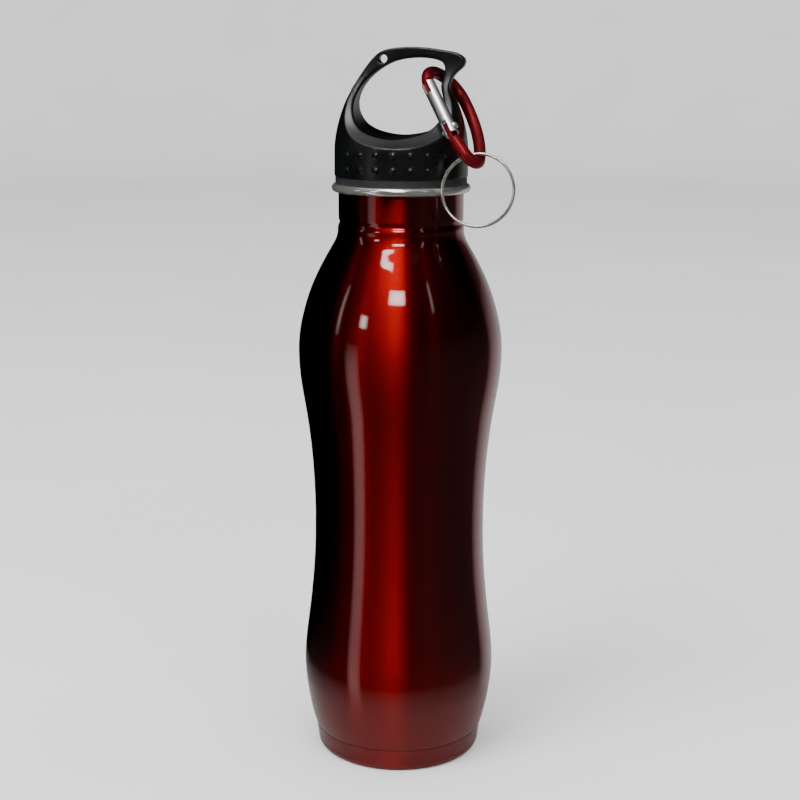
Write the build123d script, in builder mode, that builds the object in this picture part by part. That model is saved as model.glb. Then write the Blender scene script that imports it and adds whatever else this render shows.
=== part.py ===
from build123d import *
from math import cos, radians, sin
import os

os.makedirs("parts", exist_ok=True)

# Steel sports bottle with a screw cap, a mini carabiner and a split ring. Millimetres, +Z up.
# The origin is the centre of the foot, on the surface that the bottle stands on.
# The front of the cap's loop faces -Y.

# ---- driving dimensions: body ----
steel = 0.6  # sheet thickness of body and base
seam_z = 8.5  # weld between base cup and body
seam_r = 31.0
bulge_low = (35.0, 33.0)  # radius and height, as in every pair of the side line
waist = (30.9, 88.0)
bulge_high = (36.5, 151.0)  # 73 mm across, the common cage diameter
neck = (22.1, 196.5)
neck_top_z = 207.3
flare = (33.85, 20.5)  # points that shape the side line between its turns
taper_low = [(33.55, 49.5), (31.75, 66.0)]
taper_high = [(31.75, 110.0), (33.9, 128.2)]
shoulder = [(34.75, 164.0), (29.75, 178.1), (24.4, 188.0)]

# ---- driving dimensions: base cup ----
heel = (30.2, 3.2)  # where the cup's side meets the rounded foot
foot_r = 28.5  # outer radius of the ring that stands on the table
foot_round = 3.2
foot_width = 1.2
recess_r = 25.0
recess_z = 3.0  # underside of the base above the table
recess_rise = 1.2  # the base's slight dome

# ---- driving dimensions: mouth and thread ----
bead_r = 1.45  # rolled lip
bead_z = 208.65
lip_r = 24.5
lip_top_z = bead_z + bead_r
bead_centre_r = lip_r - bead_r
collar_bottom_z = 197.0
collar_wall = 1.1
collar_outer_r = neck[0] - steel
collar_inner_r = collar_outer_r - collar_wall
mouth_round = bead_centre_r - collar_inner_r
pitch = 4.0
cap_turns = 1.6
mouth_turns = 1.4
thread_depth = 1.0
thread_root = 1.8  # axial width at the root
thread_crest = 0.9
thread_sink = 0.15  # how far the ridge is rooted in its wall
thread_gap = 0.45  # radial, crest to opposite wall
thread_z = 199.6  # middle of the cap's ridge at its lower end
plug_r = collar_inner_r - thread_depth - thread_gap

# ---- driving dimensions: cap ----
skirt_r = 23.5
skirt_z = 212.5  # bottom of the skirt
straight_top_z = 221.0  # the cap narrows above this
dome = [(22.5, 229.2), (20.85, 235.0), (18.8, 240.0)]
dome_top = (17.5, 243.8)
cap_top_z = 256.9
past = 1.0  # how far cutting shapes run past the cap
cavity_r = 21.3
cavity_z = 221.5
loop_half = 3.5  # half of the loop's thickness at its top
scoop_r = 33.5
scoop_top_z = 253.8
scoop_foot_z = 222.95
beak_z = 244.4  # underside of the stretch where the loop's beak stands out
loop_shoulder_z = 235.0
loop_right = [(20.6, 236.0), (18.9, 239.6), (17.1, 243.6), (18.2, 246.9), (20.2, 249.0), (21.9, 250.7)]
loop_top = [(22.2, 252.4), (20.6, 254.2), (16.0, 255.6), (10.0, 256.5), (4.0, 256.9), (-2.4, 256.5)]
loop_left = [(-7.1, 255.2), (-10.3, 252.4), (-14.9, 245.9), (-18.5, 239.8), (-20.9, loop_shoulder_z)]
window_right = [(1.0, 226.2), (7.3, 227.4), (12.4, 230.0), (15.2, 234.6), (15.0, 239.6), (14.1, 244.0)]
window_top = [(15.1, 248.0), (14.6, 251.4), (12.0, 252.6), (4.65, 253.1), (-1.9, 252.0), (-7.4, 249.2)]
window_left = [(-11.6, 245.6), (-15.0, 240.4), (-15.8, 235.6), (-13.4, 230.1), (-7.0, 226.9)]
window_round = 0.8
hole_r = 1.5
hole_x = -6.25
hole_z = 252.8
dot_r = 0.9
dot_sink = 0.25  # centre of each grip dot inside the skirt's surface
dot_rows_z = (215.9, 220.9)
dot_step = 15.0
dots_each_side = 3

# ---- driving dimensions: plug and gasket ----
plug_wall = 1.8
plug_z = 197.0
plug_floor = 1.8
plug_inner_r = plug_r - plug_wall
flange_r = 21.2
gasket_r = 23.2
gasket_inner_r = plug_r + 0.25

# ---- driving dimensions: carabiner, in the plane of its rod ----
# In this plane x points from the gate to the spine and y towards the top bend.
clip = Plane(
    origin=(14.973, -13.187, 235.994),
    x_dir=(0.5456, 0.8008, -0.2469),
    z_dir=(0.7192, -0.2962, 0.6285),
)
rod_r = 2.1
top_bend_r = 9.624
top_bend_y = 9.705  # height of its centre, which is one radius from the gate's axis
bottom_bend_r = 4.338
spine_bend_r = 44.0
spine_top_angle = 2.394  # where the bends run into each other, as angles from x about their centres
spine_bottom_angle = -39.2
stem_angle = -162.4
stem_length = 6.205  # straight end of the rod under the gate
nose_angle = 163.0  # where the rod ends above the gate
hinge = (0.0, -8.5)
tongue_thick = 1.5
tongue_r = 2.0
tongue_root = -12.9
nose_tongue = (-1.4, 2.1, 7.6, 13.3)  # left, right, bottom, top
gate_r = 2.4
gate_bottom = -10.8
gate_top = 11.6
slot_width = 1.9
hinge_slot_top = -5.6
nose_slot_bottom = 7.0
gate_bore_r = 1.7
gate_bore_top = 2.5
rivet_r = 0.8
tongue_hole_r = 0.82
ear_hole_r = 0.86
head_r = 1.3
head_height = 0.8
head_seat = 2.45  # underside of each head from the middle plane
plunger_r = 1.5
plunger_gap = 0.05
spring_seat = -3.6
spring_wire_r = 0.18
spring_r = 1.2
spring_coils = 8

# ---- driving dimensions: split ring ----
ring_centre = (28.57, -20.43, 209.66)
ring_axis = (0.057, 0.98, -0.191)
ring_r = 12.23
ring_wire_r = 0.48
ring_pitch = 1.0
ring_turns = 1.96


def body_line(inset):
    """Side line of the bottle from the seam to the top of the neck, moved inwards by inset."""

    def moved(point):
        return (point[0] - inset, point[1])

    up = (0, 1)
    Spline((seam_r - inset, seam_z), moved(flare), moved(bulge_low), tangents=((0.35, 1), up))
    Spline(moved(bulge_low), *[moved(p) for p in taper_low], moved(waist), tangents=(up, up))
    Spline(moved(waist), *[moved(p) for p in taper_high], moved(bulge_high), tangents=(up, up))
    Spline(moved(bulge_high), *[moved(p) for p in shoulder], moved(neck), tangents=(up, up))
    Line(moved(neck), (neck[0] - inset, neck_top_z))


def cup_line(inset):
    """Line of the base cup from the seam over the rounded foot to the axis, moved inwards by inset."""
    side = (heel[0] - inset, heel[1])
    foot = (foot_r - inset / 3, inset)
    foot_inside = (foot_r - foot_width - inset / 3, inset)
    Line((seam_r - inset, seam_z), side)
    RadiusArc(side, foot, foot_round - inset / 2)
    Polyline(foot, foot_inside, (recess_r + inset / 2, recess_z + inset))
    Line((recess_r + inset / 2, recess_z + inset), (0, recess_z + recess_rise + inset))


def ridge(radius, start_z, turns, side):
    """Right-hand thread ridge on a wall of this radius; side is 1 outside the wall and -1 inside it."""
    with BuildPart() as thread:
        with BuildLine() as path:
            Helix(pitch=pitch, height=pitch * turns, radius=radius, center=(0, 0, start_z))
        with BuildSketch(Plane(origin=(radius, 0, start_z), x_dir=(1, 0, 0), z_dir=(0, -1, 0))):
            root = -side * thread_sink
            crest = side * thread_depth
            half_root = thread_root / 2
            half_crest = thread_crest / 2
            with BuildLine():
                Polyline((root, half_root), (root, -half_root), (crest, -half_crest))
                Polyline((crest, -half_crest), (crest, half_crest), (root, half_root))
            make_face()
        sweep(path=path.line, is_frenet=True)
    return thread.part


# ---- body, revolved ----
with BuildPart() as body_shell:
    with BuildSketch(Plane.XZ):
        with BuildLine():
            body_line(0)
            body_line(steel)
            Line((seam_r, seam_z), (seam_r - steel, seam_z))
            Line((neck[0], neck_top_z), (neck[0] - steel, neck_top_z))
        make_face()
    revolve(axis=Axis.Z)

with BuildPart() as base_cup:
    with BuildSketch(Plane.XZ):
        with BuildLine():
            cup_line(0)
            cup_line(steel)
            Line((seam_r, seam_z), (seam_r - steel, seam_z))
            Line((0, recess_z + recess_rise), (0, recess_z + recess_rise + steel))
        make_face()
    revolve(axis=Axis.Z)

# ---- mouth: threaded sleeve that curls outwards into the rolled lip ----
collar_ridge = ridge(collar_inner_r, thread_z + pitch / 2, mouth_turns, -1)
with BuildPart() as threaded_collar:
    with BuildSketch(Plane.XZ):
        with BuildLine():
            wall_top = (collar_inner_r, lip_top_z - mouth_round)
            crown = (bead_centre_r, lip_top_z)
            RadiusArc(wall_top, crown, mouth_round)
            Polyline(crown, (bead_centre_r, bead_z), (collar_outer_r, bead_z))
            Line((collar_outer_r, bead_z), (collar_outer_r, collar_bottom_z))
            Polyline((collar_outer_r, collar_bottom_z), (collar_inner_r, collar_bottom_z), wall_top)
        make_face()
        with Locations((bead_centre_r, bead_z)):
            Circle(bead_r)
    revolve(axis=Axis.Z)
    add(collar_ridge)

# ---- cap ----
# Outer shape of the cap before the loop is cut: a round skirt that domes inwards, and room for the beak.
with BuildPart() as cap_envelope:
    with BuildSketch(Plane.XZ):
        with BuildLine():
            Polyline((0, skirt_z), (skirt_r, skirt_z), (skirt_r, straight_top_z))
            Spline((skirt_r, straight_top_z), *dome, dome_top, tangents=((0, 1), (-0.1, 1)))
            Polyline(dome_top, (dome_top[0], cap_top_z + past), (0, cap_top_z + past), (0, skirt_z))
        make_face()
    revolve(axis=Axis.Z)
    with BuildSketch(Plane.XY.offset(beak_z)):
        with Locations((skirt_r, 0)):
            Rectangle(skirt_r, skirt_r)
    extrude(amount=cap_top_z + past - beak_z)

with BuildPart() as cap_shell:
    with BuildSketch(Plane.XZ):
        with BuildLine():
            side = skirt_r + past
            Spline(*loop_right, *loop_top, *loop_left)
            Polyline(loop_left[-1], (-side, loop_shoulder_z), (-side, skirt_z), (side, skirt_z))
            Polyline((side, skirt_z), (side, loop_right[0][1]), loop_right[0])
        make_face()
    extrude(amount=side, both=True)
    add(cap_envelope.part, mode=Mode.INTERSECT)
    # The front and the back are scooped by one arc each, up to the loop's thin top.
    with BuildSketch(Plane.YZ):
        with BuildLine():
            foot = (skirt_r + past / 2, scoop_foot_z)
            scoop_top = (loop_half, scoop_top_z)
            Polyline((0, skirt_z), (skirt_r + past / 2, skirt_z), foot)
            RadiusArc(foot, scoop_top, scoop_r)
            Polyline(scoop_top, (loop_half, cap_top_z + past), (0, cap_top_z + past), (0, skirt_z))
        make_face()
        mirror(about=Plane.YZ)
    extrude(amount=side, both=True, mode=Mode.INTERSECT)
    with BuildSketch(Plane.XZ):
        with BuildLine():
            Spline(*window_right, *window_top, *window_left, periodic=True)
        make_face()
    extrude(amount=side, both=True, mode=Mode.SUBTRACT)
    rims = cap_shell.edges().filter_by(GeomType.BSPLINE).filter_by(lambda e: e.length > 4 * skirt_r)
    fillet(rims.filter_by(lambda e: abs(e.center().Y) > past), radius=window_round)
    with BuildSketch(Plane.XZ):
        with Locations((hole_x, hole_z)):
            Circle(hole_r)
    extrude(amount=side, both=True, mode=Mode.SUBTRACT)
    with BuildSketch(Plane.XY.offset(skirt_z)):
        Circle(cavity_r)
    extrude(amount=cavity_z - skirt_z, mode=Mode.SUBTRACT)
    for middle in (-90, 90):
        for row_z in dot_rows_z:
            for column in range(-dots_each_side, dots_each_side + 1):
                angle = radians(middle + column * dot_step)
                reach = skirt_r - dot_sink
                with Locations((reach * cos(angle), reach * sin(angle), row_z)):
                    Sphere(dot_r)

plug_ridge = ridge(plug_r, thread_z, cap_turns, 1)
with BuildPart() as cap_plug:
    with BuildSketch(Plane.XZ):
        with BuildLine():
            Polyline((0, plug_z), (plug_r, plug_z), (plug_r, skirt_z), (flange_r, skirt_z))
            Line((flange_r, skirt_z), (flange_r, cavity_z))
            Polyline((flange_r, cavity_z), (plug_inner_r, cavity_z), (plug_inner_r, plug_z + plug_floor))
            Polyline((plug_inner_r, plug_z + plug_floor), (0, plug_z + plug_floor), (0, plug_z))
        make_face()
    revolve(axis=Axis.Z)
    add(plug_ridge)

with BuildPart() as cap_gasket:
    with BuildSketch(Plane.XY.offset(lip_top_z)):
        Circle(gasket_r)
        Circle(gasket_inner_r, mode=Mode.SUBTRACT)
    extrude(amount=skirt_z - lip_top_z)

# ---- carabiner ----


def along(angle, length):
    """Step of this length in the carabiner's plane, at this angle from x."""
    return Vector(cos(radians(angle)), sin(radians(angle))) * length


def bend(centre, radius, start, end):
    """Round rod bent clockwise about this centre in the carabiner's plane, between these angles."""
    outward = clip.x_dir * cos(radians(start)) + clip.y_dir * sin(radians(start))
    middle = clip.from_local_coords(centre)
    with BuildPart() as bent:
        across = outward.cross(clip.z_dir)
        with BuildSketch(Plane(origin=middle + outward * radius, x_dir=outward, z_dir=across)):
            Circle(rod_r)
        revolve(axis=Axis(middle, -clip.z_dir), revolution_arc=start - end)
    return bent.part


# The three bends are tangent, so each centre lies on the line from the last one through their joint.
top_bend = Vector(top_bend_r, top_bend_y)
spine_bend = top_bend - along(spine_top_angle, spine_bend_r - top_bend_r)
bottom_bend = spine_bend + along(spine_bottom_angle, spine_bend_r - bottom_bend_r)
top_rod = bend(top_bend, top_bend_r, nose_angle, spine_top_angle)
spine_rod = bend(spine_bend, spine_bend_r, spine_top_angle, spine_bottom_angle)
bottom_rod = bend(bottom_bend, bottom_bend_r, spine_bottom_angle, stem_angle)

rod_end = bottom_rod.faces().filter_by(GeomType.PLANE).sort_by(Axis(clip.origin, clip.x_dir))[0]
with BuildPart() as carabiner_frame:
    add(spine_rod)
    add(top_rod)
    add(bottom_rod)
    with BuildSketch(Plane(rod_end)):
        Circle(rod_r)
    extrude(amount=stem_length)
    with BuildSketch(clip):
        left, right, bottom, top = nose_tongue
        with Locations(((left + right) / 2, (bottom + top) / 2)):
            Rectangle(right - left, top - bottom)
        with Locations((0, (hinge[1] + tongue_root) / 2)):
            Rectangle(2 * tongue_r, hinge[1] - tongue_root)
        with Locations(hinge):
            Circle(tongue_r)
    extrude(amount=tongue_thick / 2, both=True)
    with BuildSketch(clip):
        with Locations(hinge):
            Circle(tongue_hole_r)
    extrude(amount=rod_r, both=True, mode=Mode.SUBTRACT)

# Plane across the gate's tube, its z along the tube towards the nose.
tube = Plane(origin=clip.origin, x_dir=clip.x_dir, z_dir=clip.y_dir)

with BuildPart() as carabiner_gate:
    with BuildSketch(tube.offset(gate_bottom)):
        Circle(gate_r)
    extrude(amount=gate_top - gate_bottom)
    with BuildSketch(tube.offset(gate_bottom)):
        Circle(gate_bore_r)
    extrude(amount=gate_bore_top - gate_bottom, mode=Mode.SUBTRACT)
    with BuildSketch(tube.offset(gate_bottom)):
        Rectangle(3 * gate_r, slot_width)
    extrude(amount=hinge_slot_top - gate_bottom, mode=Mode.SUBTRACT)
    with BuildSketch(tube.offset(nose_slot_bottom)):
        Rectangle(3 * gate_r, slot_width)
    extrude(amount=gate_top - nose_slot_bottom, mode=Mode.SUBTRACT)
    with BuildSketch(clip):
        with Locations(hinge):
            Circle(ear_hole_r)
    extrude(amount=2 * gate_r, both=True, mode=Mode.SUBTRACT)

# The rivet is revolved about the hinge line; its sketch has x out of that line and y along it.
hinge_line = Axis(clip.from_local_coords((hinge[0], hinge[1], 0)), clip.z_dir)
dome_r = (head_r**2 + head_height**2) / (2 * head_height)
with BuildPart() as gate_rivet:
    with BuildSketch(Plane(origin=hinge_line.position, x_dir=clip.x_dir, z_dir=-clip.y_dir)):
        with BuildLine():
            low_tip = (0, -head_seat - head_height)
            high_tip = (0, head_seat + head_height)
            RadiusArc(low_tip, (head_r, -head_seat), -dome_r)
            Polyline((head_r, -head_seat), (rivet_r, -head_seat), (rivet_r, head_seat))
            Line((rivet_r, head_seat), (head_r, head_seat))
            RadiusArc((head_r, head_seat), high_tip, -dome_r)
            Line(high_tip, low_tip)
        make_face()
    revolve(axis=hinge_line)

with BuildPart() as gate_plunger:
    plunger_bottom = hinge[1] + tongue_r + plunger_gap
    with BuildSketch(tube.offset(plunger_bottom)):
        Circle(plunger_r)
    extrude(amount=spring_seat - plunger_bottom)

with BuildPart() as gate_spring:
    coil_length = gate_bore_top - spring_seat - 2 * spring_wire_r
    with BuildLine() as coil:
        Helix(
            pitch=coil_length / spring_coils,
            height=coil_length,
            radius=spring_r,
            center=tube.offset(spring_seat + spring_wire_r).origin,
            direction=tube.z_dir,
        )
    with BuildSketch(Plane(origin=coil.line @ 0, z_dir=coil.line % 0)):
        Circle(spring_wire_r)
    sweep(path=coil.line, is_frenet=True)

# ---- split ring: two turns of round wire ----
ring_plane = Plane(origin=ring_centre, z_dir=ring_axis)
with BuildPart() as split_ring:
    ring_height = ring_pitch * ring_turns
    with BuildLine() as ring_path:
        Helix(
            pitch=ring_pitch,
            height=ring_height,
            radius=ring_r,
            center=ring_plane.offset(-ring_height / 2).origin,
            direction=ring_plane.z_dir,
        )
    with BuildSketch(Plane(origin=ring_path.line @ 0, z_dir=ring_path.line % 0)):
        Circle(ring_wire_r)
    sweep(path=ring_path.line, is_frenet=True)

# ---- one labelled STEP per piece ----
pieces = {
    "body_shell": body_shell,
    "base_cup": base_cup,
    "threaded_collar": threaded_collar,
    "cap_shell": cap_shell,
    "cap_plug": cap_plug,
    "cap_gasket": cap_gasket,
    "carabiner_frame": carabiner_frame,
    "carabiner_gate": carabiner_gate,
    "gate_rivet": gate_rivet,
    "gate_plunger": gate_plunger,
    "gate_spring": gate_spring,
    "split_ring": split_ring,
}
for name, piece in pieces.items():
    piece.part.label = name
    export_step(piece.part, f"parts/{name}.step")
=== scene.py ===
"""Steel sports bottle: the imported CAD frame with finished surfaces, a pale floor and studio lights."""
import math

import bmesh
import bpy
import numpy as np
from mathutils import Euler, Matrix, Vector


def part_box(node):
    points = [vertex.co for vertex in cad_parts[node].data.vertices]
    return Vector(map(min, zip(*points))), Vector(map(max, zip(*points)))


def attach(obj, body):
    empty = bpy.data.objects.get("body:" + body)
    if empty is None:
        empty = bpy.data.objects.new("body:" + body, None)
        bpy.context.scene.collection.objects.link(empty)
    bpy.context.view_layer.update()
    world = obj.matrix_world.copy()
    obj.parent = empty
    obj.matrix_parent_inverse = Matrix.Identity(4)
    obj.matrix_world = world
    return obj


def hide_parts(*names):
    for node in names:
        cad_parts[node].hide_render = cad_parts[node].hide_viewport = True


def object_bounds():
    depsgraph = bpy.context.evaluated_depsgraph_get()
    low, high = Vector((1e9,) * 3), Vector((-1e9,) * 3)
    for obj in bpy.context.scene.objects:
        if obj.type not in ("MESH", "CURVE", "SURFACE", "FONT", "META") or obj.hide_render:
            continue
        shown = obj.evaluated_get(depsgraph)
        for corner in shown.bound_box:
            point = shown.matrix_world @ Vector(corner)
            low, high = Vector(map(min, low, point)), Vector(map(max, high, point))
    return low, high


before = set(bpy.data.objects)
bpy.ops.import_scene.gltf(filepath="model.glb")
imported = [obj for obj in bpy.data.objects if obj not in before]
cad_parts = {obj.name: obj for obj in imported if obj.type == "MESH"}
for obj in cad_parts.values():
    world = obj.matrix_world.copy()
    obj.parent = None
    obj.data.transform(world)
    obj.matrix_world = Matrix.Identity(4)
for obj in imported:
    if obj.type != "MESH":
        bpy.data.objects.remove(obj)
cad_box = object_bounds()

MM = 0.001
HEIGHT = cad_box[1].z

# ---- finish of the body ----
CREASE_Z = 196.6 * MM  # groove where the shoulder runs into the neck
CREASE_DEPTH = 0.42 * MM
CREASE_WIDTH = 0.75 * MM
BEAD_Z = 194.6 * MM  # soft bead under the groove
BEAD_HEIGHT = 0.2 * MM
BEAD_WIDTH = 0.9 * MM
SEAM_WIDTH = 0.45 * MM  # rounded edge beside the weld with the base cup
SEAM_DEPTH = 0.16 * MM
STEEL = 0.6 * MM  # sheet thickness
RING_STEP = 0.5 * MM  # spacing of the body's rings of faces
BODY_SEGMENTS = 224
PROFILE_FINENESS = 8  # samples of the side line per ring
INNER_STRIDE = 4  # the unseen inner wall has one ring for this many outer ones

# ---- remeshing of the moulded and bent pieces ----
WELD_DISTANCE = 2e-6
CAP_VOXEL = 0.3 * MM
CAP_PASSES = 8
ROD_VOXEL = 0.12 * MM
GATE_VOXEL = 0.1 * MM
METAL_PASSES = 4
SOFT_ANGLE = 60.0  # degrees, edges sharper than this stay sharp

# ---- camera ----
CAMERA_DISTANCE = 543 * MM  # from the bottle's axis, measured level
CAMERA_AZIMUTH = 7.0
CAMERA_HEIGHT = 254.1 * MM
CAMERA_PITCH = 12.7  # degrees down
CAMERA_ROLL = 0.32
CAMERA_LENS = 68.92

# ---- studio ----
FLOOR_RADIUS = 2.6
WALL_RADIUS = 3.6
WALL_HEIGHT = 4.0
STUDIO_SEGMENTS = 96
BEND_POINTS = 16  # along the bend between floor and wall
DAYLIGHT = 1.9
CONTACT_RADIUS = 0.12  # of the disc of floor that reflections see
CONTACT_HEIGHT = 0.0001
CONTACT_CLEAR = 0.5  # share of that radius from which the disc fades out
GLOW_ROWS = 12
NEAR = 1.5  # distances of the reflected panels from the bottle's axis
MIDDLE = 1.6
FAR = 1.7
EDGE_GLOW = 0.15  # brightness of a reflected panel's edges against its middle
EDGE_POWER = 4


# ---------------------------------------------------------------- meshes
def node_points(node, kind="co"):
    """Vertices of a CAD node in metres, or their normals."""
    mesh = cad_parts[node].data
    values = np.empty(len(mesh.vertices) * 3)
    mesh.vertices.foreach_get(kind, values)
    return values.reshape(-1, 3)


def show(mesh, name, body, smooth_angle=35.0):
    """Object for a finished mesh, smooth but for its sharp edges, riding on a CAD body."""
    mesh.polygons.foreach_set("use_smooth", [True] * len(mesh.polygons))
    mesh.set_sharp_from_angle(angle=math.radians(smooth_angle))
    piece = bpy.data.objects.new(name, mesh)
    bpy.context.scene.collection.objects.link(piece)
    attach(piece, body)
    return piece


def lathe(name, outline, segments):
    """Mesh of a closed outline of (radius, height) points turned about the Z axis."""
    turns = np.arange(segments) * 2 * math.pi / segments
    points = [(r * math.cos(t), r * math.sin(t), z) for r, z in outline for t in turns]
    faces = []
    count = len(outline)
    for i in range(count):
        low, high = i * segments, (i + 1) % count * segments
        for j in range(segments):
            k = (j + 1) % segments
            faces.append((low + j, low + k, high + k, high + j))
    mesh = bpy.data.meshes.new(name)
    mesh.from_pydata(points, [], faces)
    tidy = bmesh.new()
    tidy.from_mesh(mesh)
    bmesh.ops.remove_doubles(tidy, verts=tidy.verts, dist=1e-7)
    bmesh.ops.recalc_face_normals(tidy, faces=tidy.faces)
    tidy.to_mesh(mesh)
    tidy.free()
    return mesh


def arc(centre, radius, start, end, count):
    """Points on an arc in the outline's plane, angles in degrees from the outward direction."""
    angles = np.radians(np.linspace(start, end, count))
    return [(centre[0] + radius * math.cos(a), centre[1] + radius * math.sin(a)) for a in angles]


def soft_copy(node, name, voxel, passes):
    """Copy of a CAD node with every edge slightly rounded: fine remesh, then smoothing."""
    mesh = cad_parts[node].data.copy()
    tidy = bmesh.new()
    tidy.from_mesh(mesh)
    bmesh.ops.remove_doubles(tidy, verts=tidy.verts, dist=WELD_DISTANCE)
    tidy.to_mesh(mesh)
    tidy.free()
    mesh.materials.clear()
    source = bpy.data.objects.new(name + "_source", mesh)
    bpy.context.scene.collection.objects.link(source)
    remesh = source.modifiers.new("Remesh", "REMESH")
    remesh.mode = "VOXEL"
    remesh.voxel_size = voxel
    smooth = source.modifiers.new("Smooth", "SMOOTH")
    smooth.factor = 0.5
    smooth.iterations = passes
    graph = bpy.context.evaluated_depsgraph_get()
    result = bpy.data.meshes.new_from_object(source.evaluated_get(graph))
    bpy.data.objects.remove(source)
    result.name = name
    return result


# ---------------------------------------------------------------- materials
def new_material(name, color, metallic, roughness):
    """Material with a Principled shader, and its tree and shader for adding detail."""
    made = bpy.data.materials.new(name)
    made.use_nodes = True
    tree = made.node_tree
    shader = tree.nodes["Principled BSDF"]
    shader.inputs["Base Color"].default_value = (*color, 1)
    shader.inputs["Metallic"].default_value = metallic
    shader.inputs["Roughness"].default_value = roughness
    return made, tree, shader


def noise(tree, scale, stretch=(1, 1, 1), detail=4.0):
    """Noise in object space, stretched along the axes, centred near 0.5."""
    place = tree.nodes.new("ShaderNodeTexCoord")
    mapping = tree.nodes.new("ShaderNodeMapping")
    mapping.inputs["Scale"].default_value = stretch
    texture = tree.nodes.new("ShaderNodeTexNoise")
    texture.inputs["Scale"].default_value = scale
    texture.inputs["Detail"].default_value = detail
    tree.links.new(place.outputs["Object"], mapping.inputs["Vector"])
    tree.links.new(mapping.outputs["Vector"], texture.inputs["Vector"])
    return texture.outputs["Fac"]


def spread(tree, value, low, high):
    """Maps noise between two numbers."""
    ramp = tree.nodes.new("ShaderNodeMapRange")
    ramp.inputs["From Min"].default_value = 0.3
    ramp.inputs["From Max"].default_value = 0.7
    ramp.inputs["To Min"].default_value = low
    ramp.inputs["To Max"].default_value = high
    tree.links.new(value, ramp.inputs["Value"])
    return ramp.outputs["Result"]


def tint(tree, value, dark, light):
    """Colour between two tones by noise."""
    mix = tree.nodes.new("ShaderNodeMix")
    mix.data_type = "RGBA"
    mix.inputs["A"].default_value = (*dark, 1)
    mix.inputs["B"].default_value = (*light, 1)
    tree.links.new(spread(tree, value, 0.0, 1.0), mix.inputs["Factor"])
    return mix.outputs["Result"]


def bump(tree, value, distance, strength=1.0):
    """Surface normal roughened by a height in metres."""
    node = tree.nodes.new("ShaderNodeBump")
    node.inputs["Strength"].default_value = strength
    node.inputs["Distance"].default_value = distance
    tree.links.new(value, node.inputs["Height"])
    return node.outputs["Normal"]


def lacquer():
    """Translucent red lacquer over steel brushed round and round, so its glow spreads up and down."""
    made, tree, shader = new_material("red_lacquer", (0.25, 0.003, 0.0034), 1.0, 0.4)
    cloud = noise(tree, 14.0, (1, 1, 0.35))
    tones = tint(tree, cloud, (0.235, 0.0026, 0.0028), (0.262, 0.0034, 0.004))
    tree.links.new(tones, shader.inputs["Base Color"])
    lines = noise(tree, 60.0, (1, 1, 60), 6.0)
    tree.links.new(spread(tree, lines, 0.37, 0.43), shader.inputs["Roughness"])
    shader.inputs["Anisotropic"].default_value = 0.95
    shader.inputs["Anisotropic Rotation"].default_value = 0.25
    tangent = tree.nodes.new("ShaderNodeTangent")
    tangent.direction_type = "RADIAL"
    tangent.axis = "Z"
    tree.links.new(tangent.outputs["Tangent"], shader.inputs["Tangent"])
    shader.inputs["Coat Weight"].default_value = 1.0
    shader.inputs["Coat Roughness"].default_value = 0.03
    shader.inputs["Coat IOR"].default_value = 1.5
    return made


def polished_steel():
    """Bare steel with fine turning lines."""
    made, tree, shader = new_material("bare_steel", (0.62, 0.6, 0.56), 0.9, 0.2)
    lines = noise(tree, 120.0, (1, 1, 25), 5.0)
    tones = tint(tree, lines, (0.56, 0.54, 0.5), (0.68, 0.66, 0.62))
    tree.links.new(tones, shader.inputs["Base Color"])
    tree.links.new(spread(tree, lines, 0.12, 0.24), shader.inputs["Roughness"])
    tree.links.new(bump(tree, lines, 0.006 * MM, 0.5), shader.inputs["Normal"])
    return made


def matte_black():
    """Moulded black plastic with a fine even grain."""
    made, tree, shader = new_material("black_plastic", (0.0025, 0.003, 0.003), 0.0, 0.3)
    grain = noise(tree, 2600.0, detail=2.0)
    cloud = noise(tree, 90.0)
    tones = tint(tree, cloud, (0.0016, 0.002, 0.002), (0.0034, 0.0038, 0.0038))
    tree.links.new(tones, shader.inputs["Base Color"])
    tree.links.new(spread(tree, cloud, 0.27, 0.35), shader.inputs["Roughness"])
    tree.links.new(bump(tree, grain, 0.01 * MM, 0.4), shader.inputs["Normal"])
    return made


def seal_rubber():
    """Dark grey silicone."""
    made, tree, shader = new_material("seal_rubber", (0.011, 0.012, 0.013), 0.0, 0.6)
    cloud = noise(tree, 300.0)
    tones = tint(tree, cloud, (0.008, 0.009, 0.0095), (0.014, 0.0155, 0.0165))
    tree.links.new(tones, shader.inputs["Base Color"])
    tree.links.new(spread(tree, cloud, 0.5, 0.7), shader.inputs["Roughness"])
    return made


def anodised_red():
    """Dyed satin aluminium."""
    made, tree, shader = new_material("anodised_red", (0.16, 0.003, 0.008), 0.7, 0.38)
    grain = noise(tree, 1500.0, detail=3.0)
    cloud = noise(tree, 160.0)
    tones = tint(tree, cloud, (0.14, 0.0025, 0.007), (0.18, 0.0035, 0.009))
    tree.links.new(tones, shader.inputs["Base Color"])
    tree.links.new(spread(tree, grain, 0.31, 0.36), shader.inputs["Roughness"])
    tree.links.new(bump(tree, grain, 0.002 * MM, 0.3), shader.inputs["Normal"])
    return made


def satin_aluminium():
    """Drawn aluminium tube with a faint grain."""
    made, tree, shader = new_material("satin_aluminium", (0.78, 0.78, 0.79), 1.0, 0.3)
    grain = noise(tree, 900.0, (1.4, 1.4, 0.3), 4.0)
    tones = tint(tree, grain, (0.76, 0.76, 0.77), (0.8, 0.8, 0.81))
    tree.links.new(tones, shader.inputs["Base Color"])
    tree.links.new(spread(tree, grain, 0.34, 0.4), shader.inputs["Roughness"])
    return made


def bright_nickel():
    """Plated steel wire."""
    made, tree, shader = new_material("bright_nickel", (0.5, 0.47, 0.41), 0.87, 0.2)
    grain = noise(tree, 700.0)
    tones = tint(tree, grain, (0.42, 0.39, 0.33), (0.58, 0.55, 0.49))
    tree.links.new(tones, shader.inputs["Base Color"])
    tree.links.new(spread(tree, grain, 0.09, 0.22), shader.inputs["Roughness"])
    return made


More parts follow.
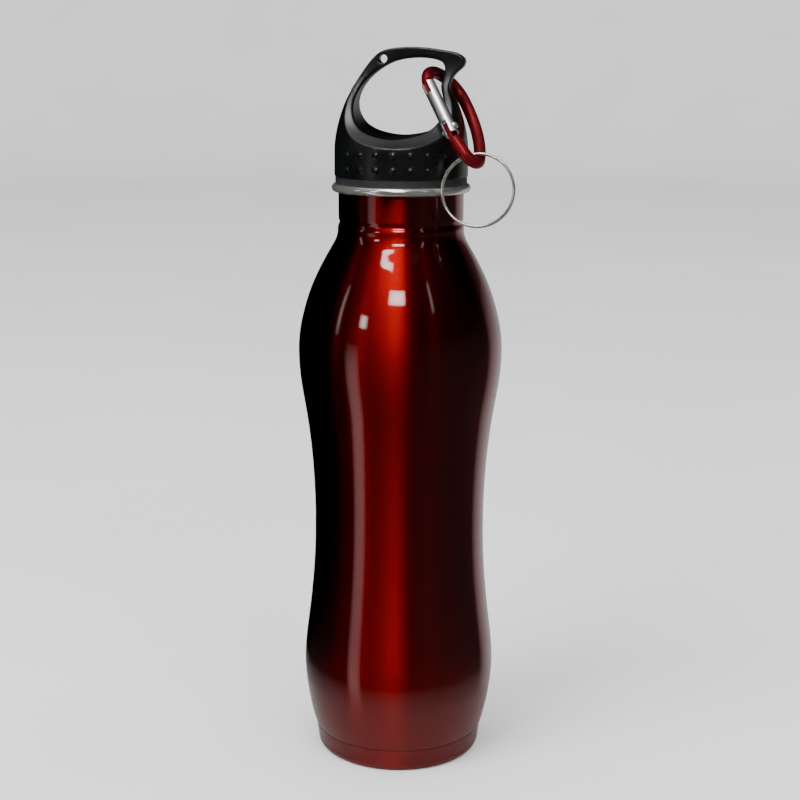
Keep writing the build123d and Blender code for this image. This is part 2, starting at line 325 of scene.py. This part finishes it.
def pale_floor():
    """Plain pale floor with a barely visible unevenness."""
    made, tree, shader = new_material("pale_floor", (0.82, 0.82, 0.81), 0.0, 0.6)
    tones = tint(tree, noise(tree, 6.0), (0.8, 0.8, 0.795), (0.84, 0.84, 0.83))
    tree.links.new(tones, shader.inputs["Base Color"])
    return made


def fading_floor():
    """The floor as the bottle's foot reflects it, fading out with distance."""
    made, tree, shader = new_material("contact_floor", (0.27, 0.255, 0.24), 0.0, 0.8)
    tones = tint(tree, noise(tree, 30.0), (0.26, 0.245, 0.23), (0.28, 0.265, 0.25))
    tree.links.new(tones, shader.inputs["Base Color"])
    place = tree.nodes.new("ShaderNodeTexCoord")
    length = tree.nodes.new("ShaderNodeVectorMath")
    length.operation = "LENGTH"
    fade = tree.nodes.new("ShaderNodeMapRange")
    fade.inputs["From Min"].default_value = CONTACT_CLEAR * CONTACT_RADIUS
    fade.inputs["From Max"].default_value = CONTACT_RADIUS
    fade.inputs["To Min"].default_value = 1.0
    fade.inputs["To Max"].default_value = 0.0
    tree.links.new(place.outputs["Object"], length.inputs[0])
    tree.links.new(length.outputs["Value"], fade.inputs["Value"])
    tree.links.new(fade.outputs["Result"], shader.inputs["Alpha"])
    return made


def dress(thing, surface):
    """Gives a piece or a CAD node one material all over."""
    thing.data.materials.clear()
    thing.data.materials.append(surface)


# ---------------------------------------------------------------- body
def side_profile(node, low_z, high_z, step):
    """Outer radius of a turned node at even heights, smoothed over a step to either side."""
    points = node_points(node)
    normals = node_points(node, "normal")
    points = points[(points[:, :2] * normals[:, :2]).sum(axis=1) > 0]
    radius = np.hypot(points[:, 0], points[:, 1])
    heights = np.round(points[:, 2], 6)
    levels = np.unique(heights)
    outer = np.array([radius[heights == level].max() for level in levels])
    fine = np.arange(low_z, high_z, step / PROFILE_FINENESS)
    curve = np.interp(fine, levels, outer)
    half = PROFILE_FINENESS
    window = np.hanning(2 * half + 1)
    padded = np.concatenate([np.full(half, curve[0]), curve, np.full(half, curve[-1])])
    soft = np.convolve(padded, window / window.sum(), "valid")
    soft[:half] = curve[:half]
    soft[-half:] = curve[-half:]
    even = np.linspace(low_z, high_z, int((high_z - low_z) / step) + 1)
    return even, np.interp(even, fine, soft)


def body_skin():
    """Body shell with the neck's crease and bead, and a rounded edge at the seam."""
    low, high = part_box("body_shell")
    z, r = side_profile("body_shell", low.z, high.z, RING_STEP)
    r = r - CREASE_DEPTH * np.exp(-(((z - CREASE_Z) / CREASE_WIDTH) ** 2))
    r = r + BEAD_HEIGHT * np.exp(-(((z - BEAD_Z) / BEAD_WIDTH) ** 2))
    r = r - SEAM_DEPTH * np.clip(1 - (z - low.z) / SEAM_WIDTH, 0, 1) ** 2
    outside = list(zip(r, z))
    inside = [(radius - STEEL, height) for radius, height in outside[::-INNER_STRIDE]]
    inside[0] = (outside[-1][0] - STEEL, outside[-1][1])
    if inside[-1][1] > low.z:
        inside.append((outside[0][0] - STEEL, low.z))
    return show(lathe("bottle_body", outside + inside, BODY_SEGMENTS), "bottle_body", "bottle")


body = body_skin()
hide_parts("body_shell")
red = lacquer()
dress(body, red)
dress(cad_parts["base_cup"], red)
steel = polished_steel()
dress(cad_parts["threaded_collar"], steel)

# ---------------------------------------------------------------- cap
black = matte_black()
cap_mesh = soft_copy("cap_shell", "cap_body", CAP_VOXEL, CAP_PASSES)
cap = show(cap_mesh, "cap_body", "cap", SOFT_ANGLE)
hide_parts("cap_shell")
dress(cap, black)
dress(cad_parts["cap_plug"], black)
dress(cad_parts["cap_gasket"], seal_rubber())

# ---------------------------------------------------------------- carabiner and ring
rod_mesh = soft_copy("carabiner_frame", "carabiner_rod", ROD_VOXEL, METAL_PASSES)
rod = show(rod_mesh, "carabiner_rod", "carabiner", SOFT_ANGLE)
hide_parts("carabiner_frame")
dress(rod, anodised_red())
gate_mesh = soft_copy("carabiner_gate", "gate_tube", GATE_VOXEL, METAL_PASSES)
gate = show(gate_mesh, "gate_tube", "gate", SOFT_ANGLE)
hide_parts("carabiner_gate")
dress(gate, satin_aluminium())
for node in ("gate_rivet", "gate_plunger", "gate_spring"):
    dress(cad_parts[node], steel)
dress(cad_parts["split_ring"], bright_nickel())

# ---------------------------------------------------------------- studio


def hide_from(thing, *kinds):
    """Switches off the kinds of rays that see this stage piece or light."""
    for kind in kinds:
        setattr(thing, "visible_" + kind, False)


def turned_sheet(name, line, start=0.0, end=360.0):
    """Open sheet made by turning a line of (radius, height) points between two azimuths."""
    steps = max(2, int((end - start) / 360 * STUDIO_SEGMENTS))
    turns = np.radians(np.linspace(start, end, steps + 1))
    points = [(r * math.sin(t), -r * math.cos(t), z) for t in turns for r, z in line]
    count = len(line)
    faces = []
    for i in range(steps):
        for j in range(count - 1):
            first = i * count + j
            faces.append((first, first + count, first + count + 1, first + 1))
    mesh = bpy.data.meshes.new(name)
    mesh.from_pydata(points, [], faces)
    mesh.polygons.foreach_set("use_smooth", [True] * len(mesh.polygons))
    sheet = bpy.data.objects.new(name, mesh)
    bpy.context.scene.collection.objects.link(sheet)
    return sheet


bend_radius = WALL_RADIUS - FLOOR_RADIUS
bend = arc((FLOOR_RADIUS, bend_radius), bend_radius, -90, 0, BEND_POINTS)
backdrop = turned_sheet("backdrop", [(0.0, 0.0)] + bend + [(WALL_RADIUS, WALL_HEIGHT)])
dress(backdrop, pale_floor())
hide_from(backdrop, "glossy")
contact = turned_sheet("contact_floor", [(0.0, 0.0), (CONTACT_RADIUS, 0.0)])
dress(contact, fading_floor())
hide_from(contact, "camera", "diffuse", "shadow")
contact.location.z = CONTACT_HEIGHT

world = bpy.data.worlds.new("studio")
bpy.context.scene.world = world
world.use_nodes = True
daylight = world.node_tree.nodes["Background"]
daylight.inputs["Color"].default_value = (0.97, 0.98, 1.0, 1)
daylight.inputs["Strength"].default_value = DAYLIGHT
world.cycles_visibility.glossy = False


def softbox(name, azimuth, elevation, distance, width, height, power, unseen=()):
    """Area light aimed at the bottle; azimuth 0 is straight in front and 90 is to the right."""
    data = bpy.data.lights.new(name, "AREA")
    data.shape = "RECTANGLE"
    data.size = width
    data.size_y = height
    data.energy = power
    light = bpy.data.objects.new(name, data)
    turn, tilt = math.radians(azimuth), math.radians(elevation)
    away = Vector((math.sin(turn) * math.cos(tilt), -math.cos(turn) * math.cos(tilt), math.sin(tilt)))
    light.location = Vector((0, 0, 0.5 * HEIGHT)) + away * distance
    light.rotation_mode = "QUATERNION"
    light.rotation_quaternion = away.to_track_quat("Z", "Y")
    hide_from(light, *unseen)
    bpy.context.scene.collection.objects.link(light)
    return light


def glow(name, azimuths, elevations, distance, strength):
    """Curved bright panel round the bottle, dimmer towards its edges, that only reflections see."""
    middle = 0.5 * HEIGHT
    tilts = np.radians(np.linspace(*elevations, GLOW_ROWS))
    line = [(distance * math.cos(t), middle + distance * math.sin(t)) for t in tilts]
    panel = turned_sheet(name, line, *azimuths)
    spots = np.array([v.co[:] for v in panel.data.vertices])
    turns = np.degrees(np.arctan2(spots[:, 0], -spots[:, 1]))
    heights = np.degrees(np.arcsin(np.clip((spots[:, 2] - middle) / distance, -1, 1)))
    fade = np.ones(len(spots))
    for values, limits in ((turns, azimuths), (heights, elevations)):
        from_middle = (values - np.mean(limits)) / (0.5 * (limits[1] - limits[0]))
        fade *= 1 - (1 - EDGE_GLOW) * np.clip(np.abs(from_middle), 0, 1) ** EDGE_POWER
    panel.data.attributes.new("fade", "FLOAT", "POINT").data.foreach_set("value", fade)
    made, tree, shader = new_material(name, (0, 0, 0), 0.0, 1.0)
    stored = tree.nodes.new("ShaderNodeAttribute")
    stored.attribute_name = "fade"
    power = tree.nodes.new("ShaderNodeMath")
    power.operation = "MULTIPLY"
    power.inputs[1].default_value = strength
    tree.links.new(stored.outputs["Fac"], power.inputs[0])
    tree.links.new(power.outputs["Value"], shader.inputs["Emission Strength"])
    tones = tint(tree, noise(tree, 2.0), (0.95, 0.95, 0.95), (1, 1, 1))
    tree.links.new(tones, shader.inputs["Emission Color"])
    dress(panel, made)
    hide_from(panel, "camera", "diffuse", "shadow", "transmission")
    return panel


softbox("key", -40, 40, 1.6, 1.0, 1.0, 30, ("glossy",))
softbox("fill", 40, 30, 1.8, 1.2, 1.2, 14, ("glossy",))
# Reflected panels: name, azimuths, elevations, distance and strength. The small lamps show as white spots on
# the shoulder. The high ones make the brushed steel glow, and the rest are the room's dim sides.
for panel in (
    ("lamp_near", (-10, 14), (31, 40), NEAR, 24.0),
    ("lamp_middle", (-33, -6), (48.5, 52), NEAR, 24.0),
    ("lamp_left", (-43, -32), (16, 23), NEAR, 16.0),
    ("lamp_far_left", (-73, -67), (8, 32), NEAR, 3.0),
    ("lamp_far_right", (46, 51), (24, 42), NEAR, 3.0),
    ("lamp_high", (-56, 16), (56, 84), NEAR, 13.0),
    ("lamp_high_left", (-66, -22), (60, 84), MIDDLE, 14.0),
    ("ceiling", (18, 180), (50, 88), FAR, 0.35),
    ("ceiling_left", (-180, -60), (50, 88), FAR, 0.9),
    ("side_panel", (-57, -39), (-88, 6), NEAR, 1.4),
    ("right_dim", (20, 120), (-60, 10), NEAR, 0.08),
    ("rim_panel", (124, 180), (-60, 12), NEAR, 0.6),
):
    glow(*panel)

# ---------------------------------------------------------------- camera
camera_data = bpy.data.cameras.new("camera")
camera_data.lens = CAMERA_LENS
camera_data.sensor_width = 36.0
camera = bpy.data.objects.new("camera", camera_data)
turn = math.radians(CAMERA_AZIMUTH)
camera.location = (CAMERA_DISTANCE * math.sin(turn), -CAMERA_DISTANCE * math.cos(turn), CAMERA_HEIGHT)
aim = Euler((math.radians(90 - CAMERA_PITCH), 0, turn)).to_matrix()
camera.rotation_euler = (aim @ Euler((0, 0, math.radians(CAMERA_ROLL))).to_matrix()).to_euler()
bpy.context.scene.collection.objects.link(camera)
bpy.context.scene.camera = camera
